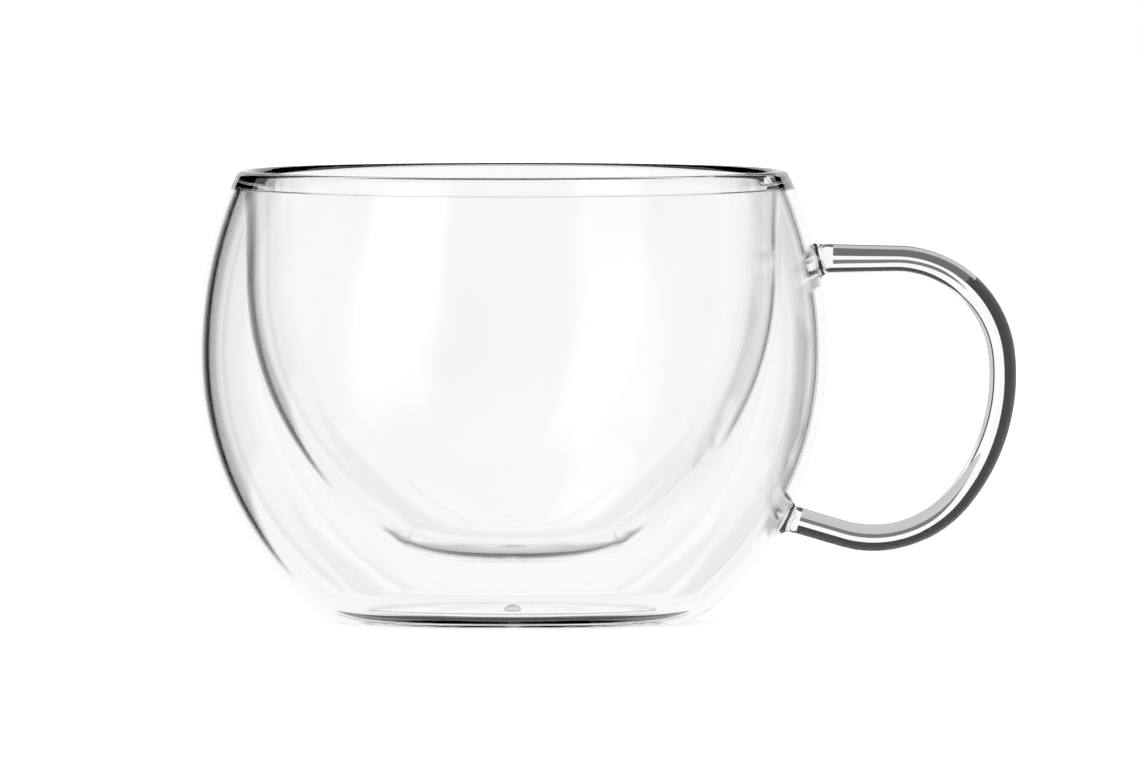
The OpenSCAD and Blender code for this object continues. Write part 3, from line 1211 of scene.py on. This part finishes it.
class CUP_OT_inner_bowl(bpy.types.Operator):
    """Turns the inner bowl with its pip"""

    bl_idname = "cup.inner_bowl"
    bl_label = "Inner bowl"

    def execute(self, context):
        s = context.scene.cup_sizes
        bowl_piece(s, Shape(s))
        return {"FINISHED"}


class CUP_OT_fused_rim(bpy.types.Operator):
    """Turns the lip that joins both walls"""

    bl_idname = "cup.fused_rim"
    bl_label = "Fused rim"

    def execute(self, context):
        s = context.scene.cup_sizes
        rim_piece(s, Shape(s))
        return {"FINISHED"}


class CUP_OT_base_plate(bpy.types.Operator):
    """Turns the plate that closes the base"""

    bl_idname = "cup.base_plate"
    bl_label = "Base plate"

    def execute(self, context):
        plate_piece(context.scene.cup_sizes)
        return {"FINISHED"}


class CUP_OT_vent_bead(bpy.types.Operator):
    """Shapes the bead over the sealed vent"""

    bl_idname = "cup.vent_bead"
    bl_label = "Vent bead"

    def execute(self, context):
        vent_piece(context.scene.cup_sizes)
        return {"FINISHED"}


class CUP_OT_bent_rod(bpy.types.Operator):
    """Sweeps the rod handle along its bends"""

    bl_idname = "cup.bent_rod"
    bl_label = "Bent rod"

    def execute(self, context):
        s = context.scene.cup_sizes
        rod_piece(s, Shape(s))
        return {"FINISHED"}


class CUP_OT_handle_welds(bpy.types.Operator):
    """Shapes the glass that joins the rod to the vessel"""

    bl_idname = "cup.handle_welds"
    bl_label = "Handle welds"

    def execute(self, context):
        s = context.scene.cup_sizes
        weld_pieces(s, Shape(s))
        return {"FINISHED"}


class CUP_OT_stage(bpy.types.Operator):
    """Puts up the floor, the light and the camera"""

    bl_idname = "cup.stage"
    bl_label = "Floor, light and camera"

    def execute(self, context):
        s = context.scene.cup_sizes
        build_stage(s, Shape(s))
        return {"FINISHED"}


OPERATORS = (
    CUP_OT_outer_vessel,
    CUP_OT_inner_bowl,
    CUP_OT_fused_rim,
    CUP_OT_base_plate,
    CUP_OT_vent_bead,
    CUP_OT_bent_rod,
    CUP_OT_handle_welds,
    CUP_OT_stage,
)


class CUP_PT_panel(bpy.types.Panel):
    """Lists the operators in the order they run, then the sizes and the colours"""

    bl_idname = "CUP_PT_panel"
    bl_label = "Glass cup"
    bl_space_type = "VIEW_3D"
    bl_region_type = "UI"
    bl_category = "Glass cup"

    def draw(self, context):
        for item in OPERATORS:
            self.layout.operator(item.bl_idname)
        for key in CupSizes.__annotations__:
            self.layout.prop(context.scene.cup_sizes, key)
        for key in CupColours.__annotations__:
            self.layout.prop(context.scene.cup_colours, key)


CLASSES = (CupSizes, CupColours) + OPERATORS + (CUP_PT_panel,)


def register():
    """Registers the classes and adds the cup's properties to the scene."""
    for item in CLASSES:
        bpy.utils.register_class(item)
    bpy.types.Scene.cup_sizes = PointerProperty(type=CupSizes)
    bpy.types.Scene.cup_colours = PointerProperty(type=CupColours)


def unregister():
    """Takes the properties and the classes away again."""
    del bpy.types.Scene.cup_colours
    del bpy.types.Scene.cup_sizes
    for item in reversed(CLASSES):
        bpy.utils.unregister_class(item)


def main():
    """Makes every piece and the stage in order."""
    register()
    bpy.ops.cup.outer_vessel()
    bpy.ops.cup.inner_bowl()
    bpy.ops.cup.fused_rim()
    bpy.ops.cup.base_plate()
    bpy.ops.cup.vent_bead()
    bpy.ops.cup.bent_rod()
    bpy.ops.cup.handle_welds()
    bpy.ops.cup.stage()


if __name__ == "__main__":
    main()
